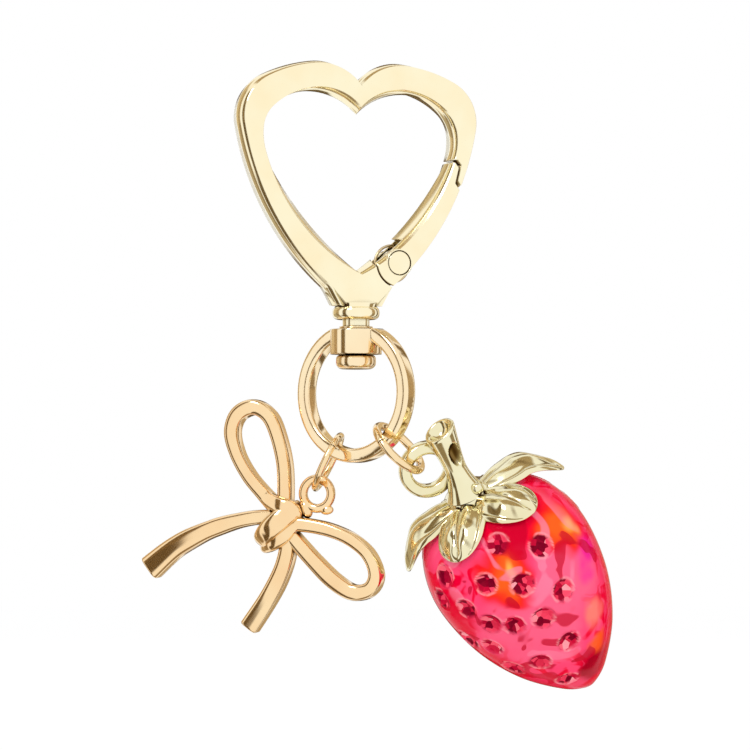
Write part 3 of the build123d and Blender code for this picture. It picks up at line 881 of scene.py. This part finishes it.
def groove_shade_share(share, side):
    """How much painted shade a leaf's grooves take: the midrib, the line inside the rim and the ends of the
    veins.
    """
    if not 0.1 < share < 0.93:
        return 0.0
    side = abs(side)
    midrib = max(0.0, 1 - side / 0.035) * (1 - share)
    line = max(0.0, 1 - abs(side - 0.83) / 0.045) * 0.7
    vein = 0.5 + 0.5 * cos(2 * pi * (share * leaf_veins - side))
    vein_end = max(0.0, vein - 0.86) * 5 * max(0.0, 1 - abs(side - 0.5) / 0.3)
    return max(midrib, line, vein_end)


def leaf_spine():
    """The line that a leaf follows over the berry's shoulder, and each point's distance along it."""
    spine = [Vector((1.0, 0, 0.85 - berry_top))]
    spine += [point + Vector((0.3, 0, 0.9)) for point in berry_profile() if point.x > 2.2]
    lengths = [0.0]
    for here, there in zip(spine, spine[1:]):
        lengths.append(lengths[-1] + (there - here).length)
    return spine, lengths


def spine_place(spine, lengths, travel):
    """The point this far along the spine, and the way on from there."""
    n = next((i for i, far in enumerate(lengths) if far > travel and i), len(spine) - 1)
    along = (spine[n] - spine[n - 1]).normalized()
    return spine[n - 1] + along * (travel - lengths[n - 1]), along


def make_leaf(name, turn, length, width, lift):
    """One puffy leaf, laid along the berry's shoulder and lifted off it."""
    stations = []
    steps = 70
    for n in range(steps + 1):
        share = 1 - (1 - n / steps) ** 1.5
        thick = leaf_depth * min(1.0, 0.55 + 1.1 * (1 - share))
        middle = Vector((share * length, 0, 0))
        stations.append((middle, Vector((0, 1, 0)), UP, width * leaf_width(share), thick))
    bm = bmesh.new()
    loft(bm, softened_ends(stations, 0.15), segments=80, power=2.5)
    spine, lengths = leaf_spine()
    droop = 15 if lift < 5 else 12
    # The groove layer marks where the leaf takes painted shade.
    groove = bm.verts.layers.float.new("groove")
    for vert in bm.verts:
        travel, reach, height = vert.co
        share = between(travel / length)
        if height > 0:
            side = 2 * reach / (width * leaf_width(share))
            height += leaf_relief(share, side)
            vert[groove] = groove_shade_share(share, side)
        height -= reach * reach / droop
        point, along = spine_place(spine, lengths, travel)
        spot = point + Vector((-along.z, 0, along.x)) * height + Vector((0, reach, 0))
        lifted = Matrix.Rotation(-radians(lift) * min(1.0, share * 2.2), 3, "Y")
        vert.co = lifted @ (spot - leaf_root) + leaf_root
    bmesh.ops.rotate(bm, matrix=Matrix.Rotation(radians(turn), 3, "Z"), verts=bm.verts)
    finished(bm, name, berry_frame(), cap_gold, "berry", ["leaf_cap"], sharp=70)


# Hub, stem and eyelet of the leaf cap


def make_hub():
    """The small boss where the leaves meet, under the stem."""
    bm = bmesh.new()
    outline = [(0, 0, 0.25), (1.6, 0, 0.2), (2.5, 0, -0.25), (3.1, 0, -0.9), (3.3, 0, -1.5), (0, 0, -1.6)]
    spin_profile(bm, smooth_path(outline[:5], 6) + [Vector(outline[5])], 72)
    nub = bmesh.ops.create_uvsphere(bm, u_segments=32, v_segments=20, radius=0.85)["verts"]
    bmesh.ops.translate(bm, vec=(2.2, 1.6, 0.2), verts=nub)
    finished(bm, "leaf_hub", berry_frame(), cap_gold, "berry", ["leaf_cap"])


# The stem's mouth: each ring's height above the stem's end, and its share of the end's size
stem_mouth = [(0.18, 0.97), (0.30, 0.90), (0.32, 0.82), (0.22, 0.74), (-0.1, 0.64), (-0.6, 0.5),
              (-0.95, 0.3), (-1.05, 0.08)]
press_height, press_way = 6.2, Vector((1.60, 0.62, 0))
press_half_length, press_half_width, press_depth = 2.0, 0.95, 1.5


def stem_size(share):
    """The stem's thickness along its length: a wide foot, a waist and a flared mouth."""
    foot = 2.2 * max(0.0, 1 - share / 0.42) ** 2
    flare = 1.6 * max(0.0, (share - 0.38) / 0.62) ** 1.5
    return 3.1 + foot + flare


def press_stem(bm, axis):
    """Press an oval recess into the stem's side and mark it as a groove for painted shade."""
    groove = bm.verts.layers.float.new("groove")
    press = axis * press_height + press_way
    for vert in bm.verts:
        gap = vert.co - press
        along = gap.dot(axis)
        aside = (gap - axis * along).length
        share = (along / press_half_length) ** 2 + (aside / press_half_width) ** 2
        if share < 1 and vert.co.z < stem_length - 1.2:
            vert.co -= press_way.normalized() * press_depth * (1 - share)
            # The recess is marked for painted shade.
            vert[groove] = min(1.0, 1.6 * (1 - share))


def make_stem():
    """The stem: waisted, flared, with a hollow, tilted mouth and a pressed-in oval on one side."""
    lean = radians(stem_lean)
    axis = Vector((0, sin(lean), cos(lean)))
    tilt = Vector((0.18, -0.12, 1)).normalized()
    stations = []
    steps = 80
    for n in range(steps + 1):
        share = n / steps * 1.06 - 0.06
        level = axis.lerp(tilt, max(0.0, share) ** 3).normalized()
        side = Vector((1, 0, 0)) - level * level.x
        side.normalize()
        size = stem_size(share)
        stations.append((axis * (stem_length - 0.35) * share, side, level.cross(side), size, size))
    middle, side, out, size, _ = stations[-1]
    for height, share in stem_mouth:
        stations.append((middle + tilt * height, side, out, size * share, size * share))
    bm = bmesh.new()
    loft(bm, stations, segments=96, power=2.0)
    press_stem(bm, axis)
    finished(bm, "stem", berry_frame(), cap_gold, "berry", ["cap_stem"])


def make_berry_eyelet():
    """The flat eye loop behind the stem."""
    radius, band_width, depth = berry_eye_size
    bm = bmesh.new()
    torus(bm, radius, band_width, depth, power=3.2, steps=110, segments=32)
    turn = Matrix.Rotation(radians(90), 4, "Y")
    place = berry_frame() @ Matrix.Translation(berry_eye_place) @ turn
    finished(bm, "berry_eye", place, cap_gold, "berry", ["berry_eyelet"])


# Stage

view_turn, view_tilt, view_distance = -24.0, -2.0, 700.0
view_centre = (2.66, -36.46)
view_width = 105.0
sensor_width = 36
studio_middle = Vector((0.004, 0, -0.037))
floor_gap = 0.014


def towards(turn, tilt):
    """The direction at this turn from the front and this height."""
    turn, tilt = radians(turn), radians(tilt)
    return Vector((sin(turn) * cos(tilt), -cos(turn) * cos(tilt), sin(tilt)))


def make_camera():
    """A long lens, a little left of the front and near the part's own height."""
    back = towards(view_turn, view_tilt)
    right = Vector((cos(radians(view_turn)), sin(radians(view_turn)), 0))
    above = back.cross(right)
    target = right * view_centre[0] + above * view_centre[1]
    data = bpy.data.cameras.new("camera")
    data.sensor_width = sensor_width
    data.lens = sensor_width * view_distance / view_width
    data.clip_start, data.clip_end = 0.01, 50
    camera = in_scene("camera", data)
    camera.matrix_world = basis(right, above, back, (target + back * view_distance) * MM)
    bpy.context.scene.camera = camera


def facing_place(turn, tilt, distance):
    """The matrix of a lamp or card that stands off at this turn and height and faces the part."""
    way = towards(turn, tilt)
    place = way.to_track_quat("Z", "Y").to_matrix().to_4x4()
    place.translation = studio_middle + way * distance
    return place


def soft_box(name, turn, tilt, distance, size, power, mirrored=False):
    """A soft rectangular lamp that faces the part; it shows in polished metal only where it is mirrored."""
    data = bpy.data.lights.new(name, "AREA")
    data.shape, data.size, data.size_y = "RECTANGLE", size[0], size[1]
    data.energy = power
    lamp = in_scene(name, data)
    lamp.matrix_world = facing_place(turn, tilt, distance)
    lamp.visible_glossy = mirrored


def studio_card(name, turn, tilt, distance, size, material):
    """A card that the camera doesn't see and polished metal mirrors as its darker lines."""
    bm = bmesh.new()
    bmesh.ops.create_grid(bm, x_segments=1, y_segments=1, size=1.0)
    mesh = mesh_of(bm, name)
    mesh.materials.append(material)
    card = in_scene(name, mesh)
    scale = Matrix.Diagonal((size[0] / 2, size[1] / 2, 1, 1))
    card.matrix_world = facing_place(turn, tilt, distance) @ scale
    card.visible_camera = False
    card.visible_shadow = False
    card.visible_diffuse = False


def card_finish(name, tone):
    """Plain matt card of this tone, which thins out towards its edges so that it mirrors softly."""
    material, tree, shader = principled(name)
    shader.inputs["Base Color"].default_value = (*tone, 1)
    shader.inputs["Roughness"].default_value = 0.9
    shader.inputs["Specular IOR Level"].default_value = 0.0
    split = add(tree, "SeparateXYZ")
    tree.links.new(add(tree, "TexCoord").outputs["Object"], split.inputs[0])
    shares = []
    for way in ("X", "Y"):
        reach = add(tree, "Math", {"operation": "ABSOLUTE"})
        tree.links.new(split.outputs[way], reach.inputs[0])
        shares.append(step_between(tree, reach.outputs[0], 1.0, 0.65))
    clear = add(tree, "BsdfTransparent")
    show(tree, blended(tree, times(tree, *shares), clear, shader))
    return material


card_tones = {
    "brown": (0.235, 0.16, 0.075),
    "cream": (0.76, 0.61, 0.38),
    "amber": (0.52, 0.38, 0.21),
    "tan": (0.25, 0.17, 0.08),
}

# Each card: its turn and height in degrees, its distance and its size in metres, and its finish
cards = [
    ("left_front_card", -84, 0, 0.7, (0.30, 2.0), "brown"),
    ("low_left_card", -97, -42, 0.75, (0.32, 0.6), "tan"),
    ("left_back_card", -128, 0, 0.8, (0.40, 2.0), "amber"),
    ("right_front_card", 74, 0, 0.7, (0.36, 2.0), "amber"),
    ("right_card", 106, 0, 0.7, (0.22, 2.0), "brown"),
    ("top_card", 0, 90, 0.7, (0.8, 0.5), "amber"),
    ("bottom_card", 0, -90, 0.7, (0.9, 0.6), "amber"),
    ("cream_back_left", -154, 5, 0.9, (0.6, 2.0), "cream"),
    ("cream_back_right", 132, 5, 0.9, (0.5, 2.0), "cream"),
    ("back_card", 158, 0, 0.8, (0.3, 2.0), "brown"),
]


def make_lights():
    """Soft lamps in front, behind and at one side, and the cards all round."""
    soft_box("front_lamp", 10, 20, 0.9, (0.9, 0.9), 2.6)
    soft_box("back_lamp", 190, 30, 0.9, (0.9, 0.9), 1.6)
    soft_box("window_lamp", -62, 42, 0.9, (0.22, 0.34), 1.6, mirrored=True)
    finishes = {name: card_finish(name + "_card", tone) for name, tone in card_tones.items()}
    for name, turn, tilt, distance, size, finish in cards:
        studio_card(name, turn, tilt, distance, size, finishes[finish])


def white_rays(tree):
    """One for the rays that see the white background: the camera's, mirrored ones and passing ones."""
    rays = add(tree, "LightPath")
    mirrored = add(tree, "Math", {"operation": "MAXIMUM"})
    tree.links.new(rays.outputs["Is Camera Ray"], mirrored.inputs[0])
    tree.links.new(rays.outputs["Is Glossy Ray"], mirrored.inputs[1])
    seen = add(tree, "Math", {"operation": "MAXIMUM"})
    tree.links.new(mirrored.outputs[0], seen.inputs[0])
    tree.links.new(rays.outputs["Is Transmission Ray"], seen.inputs[1])
    return seen.outputs[0]


def make_world():
    """A white background and plain soft light from all round."""
    world = bpy.data.worlds.new("studio")
    world.use_nodes = True
    tree = world.node_tree
    tree.nodes.clear()
    output = add(tree, "OutputWorld")
    room = add(tree, "Background", Color=(0.97, 0.98, 1, 1), Strength=0.65)
    white = add(tree, "Background", Color=(1, 1, 1, 1), Strength=1.0)
    tree.links.new(blended(tree, white_rays(tree), room, white), output.inputs["Surface"])
    bpy.context.scene.world = world


def floor_finish():
    """Matt white that looks plain white to the camera and still takes a shadow."""
    material, tree, shader = principled("pale_floor")
    shader.inputs["Base Color"].default_value = (0.9, 0.9, 0.9, 1)
    shader.inputs["Roughness"].default_value = 0.9
    glow = add(tree, "Emission", Color=(1, 1, 1, 1), Strength=1.06)
    show(tree, blended(tree, times(tree, white_rays(tree), 0.86), shader, glow))
    return material


def make_floor():
    """A plain white floor below the hanging part, which polished metal doesn't mirror."""
    bm = bmesh.new()
    bmesh.ops.create_grid(bm, x_segments=1, y_segments=1, size=2.0)
    bmesh.ops.translate(bm, vec=(0, 0, cad_box[0][2] - floor_gap), verts=bm.verts)
    mesh = mesh_of(bm, "floor")
    mesh.materials.append(floor_finish())
    floor = in_scene("floor", mesh)
    floor.visible_glossy = False


make_heart()
make_swivel()
dress_steel()
make_jump_ring("bow_link_ring", "bow_jump_ring", "bow_link_swing", "bow_link", bow_link_size)
make_jump_ring("berry_link_ring", "berry_jump_ring", "berry_link_swing", "berry_link", berry_link_size)
make_bow_eyelet()
make_bow()
make_berry()
for leaf_name, sizes in leaves.items():
    make_leaf(leaf_name, *sizes)
make_hub()
make_stem()
make_berry_eyelet()
make_camera()
make_lights()
make_world()
make_floor()
bpy.context.scene.view_settings.view_transform = "Standard"
